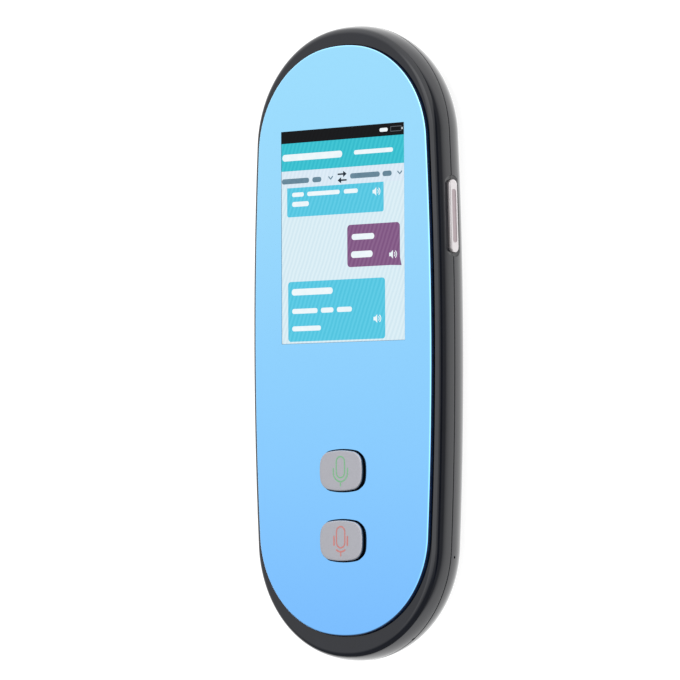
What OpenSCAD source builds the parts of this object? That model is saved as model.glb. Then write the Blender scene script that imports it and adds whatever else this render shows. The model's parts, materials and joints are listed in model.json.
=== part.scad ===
// Handheld voice translator: a slim bar with a round-ended coloured mirror front,
// a small portrait screen, two square talk keys and one long key on the right side.
// It lies on its back: X to the right, Y towards the screen end, Z out of the front.

/* [Casing] */
// Length of the casing over both round ends
body_length = 144.8; // [140:0.2:150]
// Width of the casing at its widest
body_width = 57.6; // [57.4:0.1:59]
// Depth from the flat back to the face of the front panel
body_depth = 12.6; // [12.6:0.1:13.2]
// Height of the parting line above the back
seam_height = 7.5; // [7.4:0.05:7.6]
// Thickness of both shell walls
wall = 1.5; // [1.3:0.1:1.6]
// Radius of the long, nearly straight sides
side_radius = 900; // [850:10:1200]
// Radius of the four shoulders
shoulder_radius = 27.2; // [26.5:0.1:27.3]
// Radius across each end
end_radius = 40; // [35:1:80]
// Width of the line between the two shells
seam_gap = 0.12; // [0.08:0.01:0.16]

/* [Front panel] */
// Width of the shell that shows at each end of the panel
end_rim = 5.3; // [5:0.1:5.9]
// Width of the shell that shows beside the panel
side_rim = 2.5; // [2.4:0.05:2.8]
// Radius of the panel's long sides
panel_side_radius = 806; // [700:1:1000]
// Radius of the panel's shoulders
panel_shoulder_radius = 23.6; // [22.5:0.1:24]
// Radius across each end of the panel
panel_end_radius = 35; // [33:1:45]
// Thickness of the mirror panel
panel_thickness = 1.4; // [1.2:0.1:1.4]
// How far the panel stands proud of the shell around it
panel_proud = 0.8; // [0.6:0.05:0.9]
// Shift of the panel towards the screen end
panel_shift = 0.5; // [0:0.1:0.6]
// Thickness of the tape under the panel
tape_thickness = 0.2; // [0.15:0.05:0.25]

/* [Screen] */
// Width of the picture, and of the window in the panel
screen_width = 36.72; // [36:0.02:37]
// Height of the picture, and of the window in the panel
screen_height = 48.96; // [48:0.02:49]
// Distance of the picture's top edge above the middle of the casing
screen_top = 48.9; // [48.5:0.1:49]
// Shift of the picture to the right
screen_shift = 0.3; // [0:0.1:0.3]
// Room on each side of the display module, for the side key's switch
module_side_room = 7.45; // [7.3:0.05:7.7]
// Height of the display module
module_height = 60.3; // [60:0.1:60.5]

/* [Talk keys] */
// Width of each talk key
key_width = 12.6; // [12:0.1:12.8]
// Height of each talk key
key_height = 9.2; // [9:0.1:9.4]
// Radius of a talk key's left and right sides
key_side_radius = 14; // [12:1:20]
// Radius of a talk key's corners
key_corner_radius = 3; // [2.6:0.1:3.2]
// Radius of a talk key's upper and lower sides
key_end_radius = 22; // [18:1:30]
// How far the key faces stand above the panel
key_proud = 0.95; // [0.8:0.05:1.1]
// Distance from the display module's lower end down to the middle of the upper key
upper_key_drop = 20.8; // [20.4:0.1:21]
// Distance between the two keys
key_pitch = 15.85; // [15.6:0.05:16]
// Travel of each talk key
key_travel = 0.5; // [0.4:0.05:0.5]
// Running gap around each talk key
key_gap = 0.15; // [0.12:0.01:0.2]

/* [Side key] */
// Length of the side key
side_key_length = 16.4; // [15.8:0.1:16.6]
// Height of the side key across the parting line
side_key_height = 2.7; // [2.6:0.05:2.9]
// Position of the side key above the middle of the casing
side_key_y = 27.6; // [27:0.1:28]
// How far the side key's middle lies behind the parting line
side_key_drop = 0.5; // [0.3:0.05:0.6]
// Turn of the side key, so that it follows the curve of the casing's side
side_key_turn = 1.5; // [1:0.1:1.8]
// Length of the shallow scoop around the side key
scoop_length = 18.2; // [17.8:0.1:18.6]
// Running gap around the side key
side_key_gap = 0.12; // [0.1:0.01:0.15]

/* [Battery and sound] */
// Length of the battery
battery_length = 56; // [50:1:56]
// Room on each side of the battery, for the side key's board and the wall's curve
battery_side_room = 8; // [8:0.1:9.8]
// Thickness of the battery
battery_thickness = 5; // [4.6:0.1:5]
// Width of the loudspeaker
speaker_width = 24; // [20:1:24]
// Height of the loudspeaker
speaker_height = 15; // [13:1:15]
// Diameter of the holes over the loudspeaker
grille_hole = 1.1; // [0.9:0.1:1.3]

/* [Hidden] */
$fn = 96;

panel_length = body_length - 2 * end_rim;
panel_width = body_width - 2 * side_rim;
module_width = body_width - 2 * module_side_room;
battery_width = body_width - 2 * battery_side_room;

// An outline is [half length, half width, side radius, shoulder radius, end radius]. A shoulder is a
// fillet between side and end, so half the width less a small room limits it.
shoulder_room = 1.6;
panel_shoulder_room = 2.7;
casing = [body_length / 2, body_width / 2, side_radius, min(shoulder_radius, body_width / 2 - shoulder_room),
    end_radius];
panel = [panel_length / 2, panel_width / 2, panel_side_radius,
    min(panel_shoulder_radius, panel_width / 2 - panel_shoulder_room), panel_end_radius];
key = [key_height / 2, key_width / 2, key_side_radius, key_corner_radius, key_end_radius];

// Edge arcs of the two shells: a large one next to the parting line, a small one at the flat
front_side_arc = 8;
front_edge_arc = 1.6;
back_side_arc = 9;
back_edge_arc = 5.2;
reach = 7.5;
rear_rim = seam_height - seam_gap;

// Lip of the rear shell, which stands inside the front shell's wall
lip_out = wall + 0.12;
lip_in = wall + 0.8;
lip_top = 8.6;

// Heights above the back
deck_top = body_depth - panel_proud;
panel_back = body_depth - panel_thickness;
recess_floor = panel_back - tape_thickness;
deck_under = recess_floor - 1.2;
board_top = 7.7;
board_under = 6.9;
board_inset = 3.6;

// Screen stack
screen_centre = [screen_shift, screen_top - screen_height / 2];
module_top = screen_top + 3;
module_centre_y = module_top - module_height / 2;
module_bottom = module_top - module_height;
display_plug = module_bottom * [1, 1] - [6.4, 5];
board_head = module_bottom - 1.6;
board_end = body_length / 2 - 5.9;
touch_flange = 0.5;
cell_thickness = 1.1;
cell_back = panel_back - touch_flange - cell_thickness;
backlight_back = 8.2;
module_gap = 0.2;
bond_ledge = 2.9;

// Talk keys
key_x = screen_shift;
key_ys = [module_bottom - upper_key_drop, module_bottom - upper_key_drop - key_pitch];
key_top = body_depth + key_proud;
key_face_thickness = 0.25;
key_flange = 0.9;
key_base = 8.95;
key_flange_top = deck_under - 0.05;
dome_roof = board_top + key_travel + 0.25;

// Side key
side_key_z = seam_height - side_key_drop;
side_key_face = body_width / 2 - 0.22;
side_key_corner = side_key_height / 2 - 0.15;
scoop_face = side_key_face - 0.65;
side_key_travel = 0.25;
side_flange_x = side_key_face * [1, 1] - [2.98, 2.38];
side_board_x = side_key_face * [1, 1] - [6.38, 6.08];
side_switch_x = [side_board_x[1], side_board_x[1] + 2.2];
side_well_x = side_key_face * [1, 1] - [7.58, 1.38];
side_well = side_key_length / 2 + 1;
side_flange = 0.6;
side_plug_x = side_board_x[0] * [1, 1] + [-0.4, 1];
side_plug_y = board_head * [1, 1] - [4.2, 2.4];
side_plunger_x = [side_switch_x[1] + side_key_travel + 0.05, side_flange_x[0]];

// Small openings
reset_y = 23.7 - body_length / 2;
reset_z = 6;
reset_hole = 0.6;
reset_travel = 0.2;
reset_switch_face = body_width / 2 - 6.4;
reset_switch_depth = 2.6;
usb_size = [8.94, 7.35, 3.26];
usb_mouth = wall - body_length / 2;
usb_z = board_under - usb_size.z / 2;
mic_angle = -53.7;
mic_wall = 7.28;

// Battery and loudspeaker
battery_head = body_length / 2 - 22.4;
battery_y = battery_head - battery_length / 2;
battery_bottom = wall + 0.15;
battery_foot = battery_y - battery_length / 2;
speaker_y = -44.5;
speaker_bottom = wall + 0.3;
speaker_top = 5.8;
speaker_fit = 0.15;
rib = 0.8;
lead_xs = [6.8 - battery_width / 2, 8.8 - battery_width / 2];

// Along the board: the battery's plug, then the processor's shield between it and the loudspeaker;
// on the front, the radio shield and the memory between the display's plug and the upper key
battery_plug = min(battery_foot - 6, board_head - 2) * [1, 1] - [3, 0];
processor_ys = [speaker_y + speaker_height / 2 + 3, min(board_head - 6, battery_plug[0] - 1)];
radio_ys = [key_ys[0] + key_height / 2 + key_flange + 0.7, display_plug[0] - 0.7];

// Fasteners
head_screw = [body_width / 2 - 8.8, board_head - 5];
foot_screw = [body_width / 2 - 11.8, 12 - board_end];
screw_points = [[-head_screw.x, head_screw.y], head_screw, [-foot_screw.x, foot_screw.y], foot_screw];
screw_shaft = 0.7;
screw_head = 1.4;

// ---- outlines made of tangent arcs ----

// Where the arcs meet, as headings from the centres of the side arc and the end arc. OpenSCAD hands
// on six digits of a number, so both are rounded to four decimals and the centres follow from them:
// neighbouring arcs then meet exactly.
function turns(o) =
    let (s = [o[1] - o[2], 0], e = [0, o[0] - o[4]], d = norm(e - s), a = o[2] - o[3], b = o[4] - o[3],
        u = (a * a - b * b + d * d) / (2 * d), h = sqrt(a * a - u * u), x = (e - s) / d,
        c = s + x * u + [-x.y, x.x] * h)
    [for (from = [s, e]) round(10000 * atan2(c.y - from.y, c.x - from.x)) / 10000];
function side_turn(o) = turns(o)[0];
function end_turn(o) = turns(o)[1];
function shoulder(o) = [(o[4] - o[3]) * cos(end_turn(o)), (o[2] - o[3]) * sin(side_turn(o))];
function side_centre(o) = [shoulder(o).x - (o[2] - o[3]) * cos(side_turn(o)), 0];
function end_centre(o) = [0, shoulder(o).y - (o[4] - o[3]) * sin(end_turn(o))];
function along(angle, length) = [cos(angle), sin(angle)] * length;

// A shift in a coarse and a fine step, which together keep more than six digits
module placed(p) {
    coarse = [for (c = p) round(100 * c) / 100];
    translate(coarse) translate(p - coarse) children();
}

// Segments that keep a circle's chords within a hundredth of a millimetre of it
function segments(r) = max(48, ceil(180 / acos(1 - 0.01 / r)));

// The quarter of a disc between two headings
module sector(centre, r, from, to) {
    far = 2 * r / cos((to - from) / 2);
    intersection() {
        translate(centre) circle(r, $fn = segments(r));
        polygon([centre, centre + along(from, far), centre + along((from + to) / 2, far),
            centre + along(to, far)]);
    }
}

function arc_points(centre, r, from, to, steps) =
    [for (k = [0:steps]) centre + along(from + (to - from) * k / steps, r)];

// Points round the outline o, drawn inwards by e
function outline_points(o, e) =
    let (t1 = side_turn(o), t2 = end_turn(o),
        q = concat(arc_points(side_centre(o), o[2] - e, 0, t1, 4),
            arc_points(shoulder(o), o[3] - e, t1, t2, 10), arc_points(end_centre(o), o[4] - e, t2, 90, 4)),
        m = len(q) - 1)
    concat(q, [for (k = [m - 1:-1:0]) [-q[k].x, q[k].y]], [for (k = [1:m]) -q[k]],
        [for (k = [m - 1:-1:1]) [q[k].x, -q[k].y]]);

// One arc of a sweep: the section's X is measured outwards from the outline
module bend(centre, r, from, to)
    placed(centre) rotate_extrude(angle = to - from, start = from, $fn = segments(r))
        translate([r, 0]) children();

// Sweeps a section right round the outline o: one half, and the same turned round
module sweep(o) {
    c = shoulder(o);
    t1 = side_turn(o);
    t2 = end_turn(o);
    for (half = [0, 180]) rotate(half) {
        bend(side_centre(o), o[2], -t1, t1) children();
        bend(end_centre(o), o[4], t2, 180 - t2) children();
        bend(c, o[3], t1, t2) children();
        bend([c.x, -c.y], o[3], -t2, -t1) children();
    }
}

// The middle of a body, inside the swept edge
module core(o, e, low, high)
    translate([0, 0, low]) linear_extrude(high - low) polygon(outline_points(o, e));

// A flat plate on outline o, drawn inwards by e
module plate(o, e, low, high) {
    edge = o[3] / 4;
    sweep(o) polygon([[-e - edge, low], [-e, low], [-e, high], [-e - edge, high]]);
    core(o, e + edge / 2, low, high);
}

// A plate on outline o with its upper edge rounded by r
module soft_plate(o, low, high, r) {
    edge = o[3] / 4;
    round_edge = arc_points([-r, high - r], r, 0, 90, 4);
    sweep(o) polygon(concat([[-edge, low], [0, low]], round_edge, [[-edge, high]]));
    core(o, edge / 2, low, high);
}

// Section of a shell edge: upright at the rim, then a large and a small arc to a flat
function edge_points(centre_x, side_arc, edge_arc, rim, flat, over) =
    let (up = sign(flat - rim), rise = abs(flat - rim) - edge_arc,
        in_x = centre_x + sqrt(pow(side_arc - edge_arc, 2) - rise * rise),
        turn = atan2(rise, in_x - centre_x),
        side = arc_points([centre_x, 0], side_arc, 0, turn, 6),
        edge = arc_points([in_x, rise], edge_arc, turn, 90, 6),
        low = over > 0 ? [[centre_x + side_arc, -over]] : [],
        half = concat([[-reach, -over]], low, side, [for (k = [1:6]) edge[k]], [[-reach, rise + edge_arc]]))
    [for (p = half) [p.x, rim + up * p.y]];

// A shell's solid form, or the space inside it
module shell_body(section, low, high) {
    sweep(casing) polygon(section);
    core(casing, reach - 1, low, high);
}

module rounded(size, r) {
    x = size.x / 2 - r;
    y = size.y / 2 - r;
    square([size.x, 2 * y], center = true);
    square([2 * x, size.y], center = true);
    sector([x, y], r, 0, 90);
    sector([-x, y], r, 90, 180);
    sector([-x, -y], r, 180, 270);
    sector([x, -y], r, 270, 360);
}

module rounded_box(centre, size, r, low, high)
    translate([centre.x, centre.y, low]) linear_extrude(high - low) rounded(size, r);

// The same, from its limits in x and y
module between(x, y, r, low, high)
    rounded_box([(x[0] + x[1]) / 2, (y[0] + y[1]) / 2], [x[1] - x[0], y[1] - y[0]], r, low, high);

module block(x, y, z)
    translate([x[0], y[0], z[0]]) cube([x[1] - x[0], y[1] - y[0], z[1] - z[0]]);

// A bar along X with a rounded YZ section, turned with the side key
module side_bar(x, length, height, r, turn = side_key_turn)
    translate([side_key_face, side_key_y, side_key_z]) rotate([0, 0, turn])
        translate([x[0] - side_key_face, 0, 0]) rotate([90, 0, 90])
            linear_extrude(x[1] - x[0]) rounded([length, height], r);

module each_key() for (y = key_ys) translate([key_x, y, 0]) children();

// Points along a route, no more than gap apart
function spaced(route, gap) = [for (i = [0:len(route) - 2])
    let (step = route[i + 1] - route[i], n = ceil(norm(step) / gap))
    for (k = [0:n - 1]) route[i] + step * k / n, route[len(route) - 1]];

function unit(v) = v / norm(v);

// A round wire of eight sides along a route
module wire(route, r) {
    sides = 8;
    p = spaced(route, 5 * r);
    last = len(p) - 1;
    rings = [for (i = [0:last])
        let (t = unit(p[min(i + 1, last)] - p[max(i - 1, 0)]), u = unit(cross(t, [0, 0, 1])), v = cross(u, t))
        for (k = [0:sides - 1]) p[i] + r * (u * cos(360 * k / sides) + v * sin(360 * k / sides))];
    skin = [for (i = [0:last - 1], k = [0:sides - 1]) let (a = i * sides + k, b = i * sides + (k + 1) % sides)
        each [[a, b, b + sides], [a, b + sides, a + sides]]];
    ends = [[for (k = [sides - 1:-1:0]) k], [for (k = [0:sides - 1]) last * sides + k]];
    polyhedron(rings, concat(skin, ends));
}

// ---- openings shared by both shells ----

module side_key_opening() {
    side_bar([side_well_x[0], side_key_face + 0.8], side_key_length + 2 * side_key_gap,
        side_key_height + 2 * side_key_gap, side_key_corner + side_key_gap);
    side_bar([scoop_face, side_key_face + 1.3], scoop_length, 5.6, 2.5);
}

module reset_opening()
    translate([reset_switch_face - 2.4, reset_y, reset_z]) rotate([0, 90, 0]) cylinder(10, reset_hole / 2, reset_hole / 2);

// The microphone's own frame: X runs out from the shoulder's centre, square to the wall
module mic_frame()
    translate([shoulder(casing).x, -shoulder(casing).y, 0]) rotate(mic_angle)
        translate([casing[3] - mic_wall, 0, 0]) children();

module mic_opening()
    mic_frame()
        block([mic_wall - 3.5, mic_wall + 1], [-0.5, 0.5], [seam_height - 0.35, seam_height + 0.35]);

// ---- casing ----

hook_sites = [-34, 2, 41];

function side_at(y) = side_centre(casing).x + sqrt(side_radius * side_radius - y * y);

module rear_shell() color([0.05, 0.05, 0.06]) difference() {
    union() {
        difference() {
            shell_body(edge_points(-back_side_arc, back_side_arc, back_edge_arc, rear_rim, 0, 0),
                0, rear_rim);
            shell_body(edge_points(-back_side_arc, back_side_arc - wall, back_edge_arc - wall,
                rear_rim, wall, 1), wall, rear_rim + 1);
        }
        sweep(casing) polygon([[-lip_in, 5.4], [0.05 - wall, 5.4], [0.05 - wall, rear_rim - 0.1],
            [-lip_out, rear_rim - 0.1], [-lip_out, lip_top], [-lip_in, lip_top]]);
        for (y = hook_sites, s = [-1, 1]) {
            x = side_at(y) - 1.9;
            block([min(s * x, s * (x + 0.6)), max(s * x, s * (x + 0.6))], [y - 2, y + 2], [8.0, 8.5]);
        }
        speaker_fence();
        for (y = [side_key_y - 7.5, side_key_y + 4.5])
            block(side_board_x[0] * [1, 1] - [0.9, 0.02], [y, y + 3], [1.4, 7]);
    }
    side_key_opening();
    block(side_well_x, [side_key_y - side_well, side_key_y + side_well], [side_key_z - 2.2, 9]);
    reset_opening();
    mic_opening();
    translate([0, usb_mouth - 1, usb_z]) rotate([90, 0, 0]) translate([0, 0, -3])
        linear_extrude(8) rounded([9.7, 4], 1.9);
    for (i = [-3:3], j = [-1:1]) translate([i * 2.4, speaker_y + j * 2.4, -1])
        cylinder(wall + 2, grille_hole / 2, grille_hole / 2);
}

module speaker_fence() difference() {
    rounded_box([0, speaker_y], [speaker_width, speaker_height] + 2 * (speaker_fit + rib) * [1, 1],
        2.2, wall - 0.1, 4);
    rounded_box([0, speaker_y], [speaker_width, speaker_height] + 2 * speaker_fit * [1, 1], 1.4, 0, 5);
}

module front_shell() color([0.05, 0.05, 0.06]) difference() {
    union() {
        difference() {
            shell_body(edge_points(-front_side_arc, front_side_arc, front_edge_arc, seam_height, deck_top, 0),
                seam_height, deck_top);
            shell_body(edge_points(-front_side_arc, front_side_arc - wall, 0.4, seam_height, deck_under, 1),
                seam_height - 1, deck_under);
        }
        for (p = screw_points) translate([p.x, p.y, board_top])
            cylinder(deck_under + 0.1 - board_top, 1.9, 1.9);
    }
    translate([0, panel_shift, 0]) plate(panel, -0.1, recess_floor, body_depth);
    rounded_box([screen_shift, module_centre_y], [module_width, module_height] + 2 * module_gap * [1, 1],
        0.6, deck_under - 1, recess_floor + 1);
    each_key() plate(key, -0.25, deck_under - 1, recess_floor + 1);
    for (p = screw_points) translate([p.x, p.y, board_top - 1])
        cylinder(3.6, screw_shaft - 0.05, screw_shaft - 0.05);
    for (y = hook_sites, s = [-1, 1]) {
        x = side_at(y) - 1.7;
        block([min(s * x, s * (x + 0.75)), max(s * x, s * (x + 0.75))], [y - 2.2, y + 2.2], [7.9, 8.65]);
    }
    side_key_opening();
    mic_opening();
}

module front_panel() color([0.55, 0.82, 0.98]) difference() {
    translate([0, panel_shift, 0]) soft_plate(panel, panel_back, body_depth, 0.35);
    translate([screen_centre.x, screen_centre.y, panel_back - 1])
        linear_extrude(panel_thickness + 2) square([screen_width, screen_height], center = true);
    each_key() plate(key, -key_gap, panel_back - 1, body_depth + 1);
}

module panel_tape() color([0.12, 0.12, 0.12]) difference() {
    translate([0, panel_shift, 0]) plate(panel, 0.6, recess_floor, panel_back);
    rounded_box([screen_shift, module_centre_y], [module_width, module_height] + 2 * module_gap * [1, 1],
        0.6, recess_floor - 1, panel_back + 1);
    each_key() plate(key, -0.8, recess_floor - 1, panel_back + 1);
}

// ---- screen ----

module touch_glass() color([0.1, 0.1, 0.12]) {
    rounded_box([screen_shift, module_centre_y], [module_width, module_height], 0.4,
        panel_back - touch_flange, panel_back);
    rounded_box(screen_centre, [screen_width, screen_height] - 0.1 * [1, 1], 0.15,
        panel_back, body_depth);
}

module display_cell() color([0.2, 0.75, 0.8])
    rounded_box([screen_shift, module_centre_y], [module_width, module_height], 0.3,
        cell_back, panel_back - touch_flange);

module backlight_unit() color([0.85, 0.85, 0.85])
    rounded_box([screen_shift, module_centre_y + bond_ledge / 2], [module_width, module_height - bond_ledge],
        0.5, backlight_back, cell_back);

// Bonded under the ledge of the display, then down to its connector on the board
module display_flex() color([0.7, 0.45, 0.15])
    translate([screen_shift - 8, 0, 0]) rotate([90, 0, 90]) linear_extrude(16)
        polygon([[module_bottom + 2.4, cell_back], [module_bottom + 2.4, cell_back - 0.15],
            [module_bottom - 1, cell_back - 0.15], [display_plug[1] + 1.4, 8.75], [display_plug[1], 8.75],
            [display_plug[1], 8.9], [display_plug[1] + 1.5, 8.9], [module_bottom - 0.9, cell_back]]);

// ---- talk keys ----

module key_body(y) color([0.07, 0.07, 0.08]) translate([key_x, y, 0]) {
    plate(key, 0, key_base, key_top - key_face_thickness);
    plate(key, -key_flange, key_base, key_flange_top);
}

module key_face(y) color([0.72, 0.68, 0.69]) translate([key_x, y, 0])
    soft_plate(key, key_top - key_face_thickness, key_top, 0.2);

// Silicone return dome with a flat crown and a hollow for the contact
module key_dome(y) color([0.5, 0.5, 0.52]) translate([key_x, y, 0]) rotate_extrude()
    polygon([[1.6, board_top], [3.2, board_top], [3.2, board_top + 0.3], [1.7, key_base], [0, key_base],
        [0, dome_roof], [1.2, dome_roof]]);

module upper_key_body() key_body(key_ys[0]);
module lower_key_body() key_body(key_ys[1]);
module upper_key_face() key_face(key_ys[0]);
module lower_key_face() key_face(key_ys[1]);
module upper_key_dome() key_dome(key_ys[0]);
module lower_key_dome() key_dome(key_ys[1]);

// ---- side key ----

module side_key() color([0.75, 0.7, 0.71]) {
    side_bar([side_flange_x[0], side_key_face], side_key_length, side_key_height, side_key_corner);
    side_bar(side_flange_x, side_key_length + 2 * side_flange, side_key_height + 2 * side_flange,
        side_key_corner + side_flange);
}

module side_switch_body() color([0.75, 0.75, 0.78])
    side_bar(side_switch_x, 4.5, 3, 0.3, 0);

module side_switch_plunger() color([0.15, 0.15, 0.15])
    side_bar(side_plunger_x, 2, 1.2, 0.3);

module side_switch_board() color([0.1, 0.35, 0.2])
    block(side_board_x, [side_key_y - 8.5, side_key_y + 8.5], [5.5, 9.5]);

// Runs down beside the display to the edge of the board
module side_key_flex() color([0.7, 0.45, 0.15])
    block(side_board_x[0] * [1, 1] - [0.2, 0.05], [side_plug_y[1], side_key_y - 8.5], [8, 9.4]);

// ---- board ----

module main_board() color([0.05, 0.3, 0.15]) difference() {
    intersection() {
        plate(casing, board_inset, board_under, board_top);
        block([-40, 40], [-board_end, board_head], [0, 20]);
    }
    for (p = screw_points) translate([p.x, p.y, 0]) cylinder(20, screw_shaft + 0.1, screw_shaft + 0.1);
}

module radio_shield() color([0.8, 0.8, 0.82])
    between([2.5 - head_screw.x, -3], radio_ys, 0.5, board_top, board_top + 1.7);

module processor_shield() color([0.8, 0.8, 0.82])
    between([-10, 10], processor_ys, 0.6, board_under - 1.6, board_under);

module memory_chip() color([0.08, 0.08, 0.08])
    between([3, 14], radio_ys, 0.2, board_top, board_top + 1);

chip_sites = [[-15, -38, 4], [15, -36, 5], [-16, -31, 3], [17, -28.5, 3.4],
    [-10, 8.5 - board_end, 4], [17, -42, 3]];

module board_chips() color([0.1, 0.1, 0.1]) for (p = chip_sites)
    rounded_box([p.x, p.y], [p[2], p[2]], 0.2, board_under - 0.9, board_under);

module board_connectors() color([0.85, 0.82, 0.75]) {
    block([screen_shift - 9, screen_shift + 9], display_plug, [board_top, board_top + 1.4]);
    block(side_plug_x, side_plug_y, [board_top, board_top + 1.7]);
    block([lead_xs[0] - 2, lead_xs[1] + 2], battery_plug, [board_under - 1.5, board_under]);
}

module reset_switch_body() color([0.75, 0.75, 0.78])
    block([reset_switch_face - reset_switch_depth, reset_switch_face], [reset_y - 1.8, reset_y + 1.8], [board_under - 2, board_under]);

module reset_plunger() color([0.15, 0.15, 0.15])
    translate([reset_switch_face + reset_travel + 0.05, reset_y, reset_z]) rotate([0, 90, 0])
        cylinder(0.75, 0.5, 0.5);

module usb_socket() color([0.78, 0.78, 0.8])
    translate([0, usb_mouth + usb_size.y, usb_z]) rotate([90, 0, 0]) difference() {
        linear_extrude(usb_size.y) rounded([usb_size.x, usb_size.z], 1.5);
        translate([0, 0, 1]) linear_extrude(usb_size.y) rounded([usb_size.x - 0.6, usb_size.z - 0.6], 1.25);
    }

module usb_tongue() color([0.1, 0.1, 0.1])
    block([-3.3, 3.3], [usb_mouth + 1.2, usb_mouth + usb_size.y - 1], [usb_z - 0.35, usb_z + 0.35]);

module board_screws() color([0.75, 0.75, 0.77]) for (p = screw_points) translate([p.x, p.y, 0])
    difference() {
        union() {
            translate([0, 0, board_under - 0.7]) cylinder(0.7, screw_head, screw_head);
            translate([0, 0, board_under]) cylinder(3, screw_shaft - 0.05, screw_shaft - 0.05);
        }
        translate([0, 0, board_under - 1]) block([-0.9, 0.9], [-0.18, 0.18], [0, 0.6]);
        translate([0, 0, board_under - 1]) block([-0.18, 0.18], [-0.9, 0.9], [0, 0.6]);
    }

module microphone() color([0.85, 0.75, 0.4]) mic_frame()
    block([-1.75, 1.75], [-1.35, 1.35], [board_under - 1, board_under]);

// Seals the microphone to the slot in the parting line
module microphone_boot() color([0.12, 0.12, 0.12]) mic_frame() difference() {
    union() {
        block([-2.4, 3.8], [-2.2, 2.2], [5.2, board_under]);
        block([3.8, 4.8], [-2.2, 2.2], [5.2, 8.2]);
    }
    block([-1.8, 1.8], [-1.4, 1.4], [board_under - 1.05, board_under + 1]);
    block([1.7, 4.4], [-0.5, 0.5], [board_under - 0.8, board_under - 0.2]);
    block([4.2, 6], [-0.5, 0.5], [board_under - 0.8, 7.85]);
}

// ---- battery ----

module battery_cell() color([0.75, 0.77, 0.8])
    rounded_box([0, battery_y], [battery_width, battery_length], 1.5, battery_bottom,
        battery_bottom + battery_thickness);

module battery_board() color([0.05, 0.3, 0.15])
    block((battery_width / 2 - 5.8) * [-1, 1], [battery_foot - 3, battery_foot], [3, 4.2]);

module battery_leads() for (x = lead_xs)
    color(x == lead_xs[0] ? [0.1, 0.1, 0.1] : [0.75, 0.08, 0.08])
        wire([[x, battery_foot - 3, 3.6], [x, battery_foot - 4.2, 3.8], [x, battery_foot - 5, 6.1],
            [x, battery_plug[1], 6.1]], 0.4);

module battery_tape() color([0.9, 0.88, 0.8])
    rounded_box([0, battery_y], [battery_width - 6, battery_length - 6], 0.5, wall, battery_bottom);

module battery_foam() color([0.2, 0.2, 0.2])
    rounded_box([0, battery_y], [battery_width - 11.6, battery_length - 12], 0.5, battery_bottom + battery_thickness, backlight_back);

// ---- sound ----

module speaker() color([0.15, 0.15, 0.16]) difference() {
    rounded_box([0, speaker_y], [speaker_width, speaker_height], 1.2, speaker_bottom, speaker_top);
    rounded_box([0, speaker_y], [speaker_width - 5, speaker_height - 5], 4.5, speaker_bottom - 1,
        speaker_bottom + 0.6);
}

module speaker_gasket() color([0.2, 0.2, 0.2]) difference() {
    rounded_box([0, speaker_y], [speaker_width, speaker_height] - 0.2 * [1, 1], 1.1, wall, speaker_bottom);
    rounded_box([0, speaker_y], [speaker_width - 5, speaker_height - 5], 4.5, wall - 1, speaker_bottom + 1);
}

module speaker_mesh() color([0.3, 0.3, 0.3])
    rounded_box([0, speaker_y], [speaker_width - 5.2, speaker_height - 5.2], 4.4, wall, wall + 0.12);

module speaker_springs() color([0.85, 0.7, 0.35]) for (x = [-8, 8])
    block([x - 0.6, x + 0.6], [speaker_y - 2, speaker_y + 2], [speaker_top, board_under]);

// ---- radio ----

// Lies in the strip between the display and the casing's end
antenna_size = [28, 6];
antenna_start = module_top + module_gap;
antenna_spare = body_length / 2 - 7.05 - antenna_start - antenna_size.y;

module wifi_antenna() color([0.75, 0.5, 0.2])
    rounded_box([0, antenna_start + 2 / 5 * antenna_spare + antenna_size.y / 2], antenna_size, 0.6,
        deck_under - 0.15, deck_under);

module antenna_cable() color([0.1, 0.1, 0.1])
    wire([[-12, 57, deck_under - 0.55], [-20.5, 53.5, 9.1], [-23, 48, 9.0], [-23, -10, 9.0],
        [-23, -12.4, 8.5]], 0.4);

module antenna_plug() color([0.85, 0.7, 0.35])
    translate([5.8 - body_width / 2, board_head - 3.4, board_top]) cylinder(1.3, 1, 1);

rear_shell();
front_shell();
front_panel();
panel_tape();
touch_glass();
display_cell();
backlight_unit();
display_flex();
upper_key_body();
upper_key_face();
upper_key_dome();
lower_key_body();
lower_key_face();
lower_key_dome();
side_key();
side_switch_body();
side_switch_plunger();
side_switch_board();
side_key_flex();
main_board();
radio_shield();
processor_shield();
memory_chip();
board_chips();
board_connectors();
reset_switch_body();
reset_plunger();
usb_socket();
usb_tongue();
board_screws();
microphone();
microphone_boot();
battery_cell();
battery_board();
battery_leads();
battery_tape();
battery_foam();
speaker();
speaker_gasket();
speaker_mesh();
speaker_springs();
wifi_antenna();
antenna_cable();
antenna_plug();
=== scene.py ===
import json
import math

import bpy
import numpy as np
from mathutils import Matrix, Vector


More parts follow.
